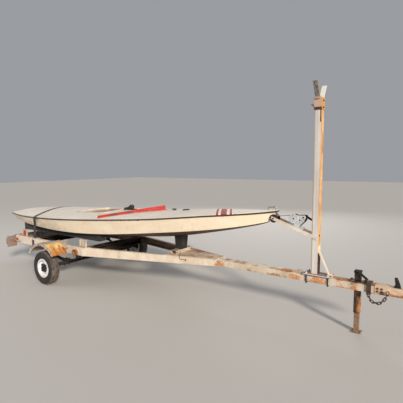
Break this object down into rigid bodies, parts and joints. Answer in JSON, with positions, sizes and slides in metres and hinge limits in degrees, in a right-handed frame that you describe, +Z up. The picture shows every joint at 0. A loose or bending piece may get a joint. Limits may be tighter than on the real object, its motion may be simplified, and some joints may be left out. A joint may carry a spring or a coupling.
{
  "type": "sailing dinghy on boat trailer",
  "caption": "Decked sailing dinghy with cockpit well, splash guard and daggerboard slot, strapped to its wheeled trailer with mast post, winch stand and sliding jack leg.",
  "frame": {"origin": "on the ground below the middle of the bounding box", "axes": "+X forward to the bow and the coupler, +Y to port, +Z up"},
  "size_m": [5.4704, 1.72, 2.16],
  "materials": {
    "hull_gelcoat": "aged cream gelcoat, slightly chalked",
    "deck_gelcoat": "aged white gelcoat with red and white bow stripes",
    "rub_rail": "dark extruded edge trim",
    "splash_red": "red moulding with a white top edge",
    "deck_fitting": "black moulded deck fitting",
    "fitting_metal": "dulled aluminium",
    "strap_webbing": "maroon woven webbing, dusty",
    "winch_webbing": "faded mauve-grey webbing",
    "frame_paint": "cream paint, worn, with orange rust",
    "rusted_steel": "brown rusted steel",
    "dark_steel": "dark weathered steel",
    "zinc_steel": "dull zinc plating",
    "black_rubber": "black weathered rubber",
    "bunk_carpet": "black carpet over timber",
    "red_lens": "faded red lens",
    "tyre_rubber": "dusty black tyre",
    "wheel_paint": "white wheel paint with grime"
  },
  "bodies": {
    "trailer": {"axle": "rusted_steel", "bow_eye": "fitting_metal", "bow_handle": "fitting_metal", "bow_roller": "black_rubber", "bunk_brackets": "frame_paint", "bunk_far": "bunk_carpet", "bunk_near": "bunk_carpet", "cockpit_tub": "deck_gelcoat", "coupler": "frame_paint", "coupler_latch": "dark_steel", "cradle_beam": "frame_paint", "cross_tube": "rusted_steel", "daggerboard_trunk": "deck_gelcoat", "deck": "deck_gelcoat", "fender_far": "frame_paint", "fender_near": "frame_paint", "frame_rail_far": "frame_paint", "frame_rail_near": "frame_paint", "front_crossbeam": "rusted_steel", "gusset_plate": "frame_paint", "halyard_cleat": "deck_fitting", "hull": "hull_gelcoat", "jack_crank": "dark_steel", "jack_tube": "dark_steel", "keel_cradle": "black_rubber", "lamp_plates": "frame_paint", "leaf_spring_far": "rusted_steel", "leaf_spring_near": "rusted_steel", "mainsheet_block": "deck_fitting", "mast_crutch": "frame_paint", "mast_post": "frame_paint", "mast_step": "deck_fitting", "post_base": "rusted_steel", "post_brace": "frame_paint", "rear_bunk_beam": "rusted_steel", "rear_crossbeam": "frame_paint", "rub_rail": "rub_rail", "rudder_gudgeon": "fitting_metal", "safety_chain": "dark_steel", "splashguard": "splash_red", "spring_hangers": "rusted_steel", "tail_lamps": "red_lens", "tie_down_strap": "strap_webbing", "tongue": "frame_paint", "winch_arms": "frame_paint", "winch_crank": "dark_steel", "winch_drum": "zinc_steel", "winch_frame": "zinc_steel", "winch_strap": "winch_webbing"},
    "wheel_near": {"hub_near": "dark_steel", "rim_near": "wheel_paint", "tyre_near": "tyre_rubber"},
    "wheel_far": {"hub_far": "dark_steel", "rim_far": "wheel_paint", "tyre_far": "tyre_rubber"},
    "jack_leg": {"jack_leg": "zinc_steel"}
  },
  "joints": [
    {"name": "wheel_near_spin", "type": "hinge", "parent": "trailer", "child": "wheel_near", "pos_m": [-1.23476, -0.77, 0.207], "axis": [0, 1, 0], "continuous": true},
    {"name": "wheel_far_spin", "type": "hinge", "parent": "trailer", "child": "wheel_far", "pos_m": [-1.23476, 0.77, 0.207], "axis": [0, 1, 0], "continuous": true},
    {"name": "jack_slide", "type": "slide", "parent": "trailer", "child": "jack_leg", "axis": [0, 0, 1], "range_m": [-0.1, 0.165]}
  ]
}
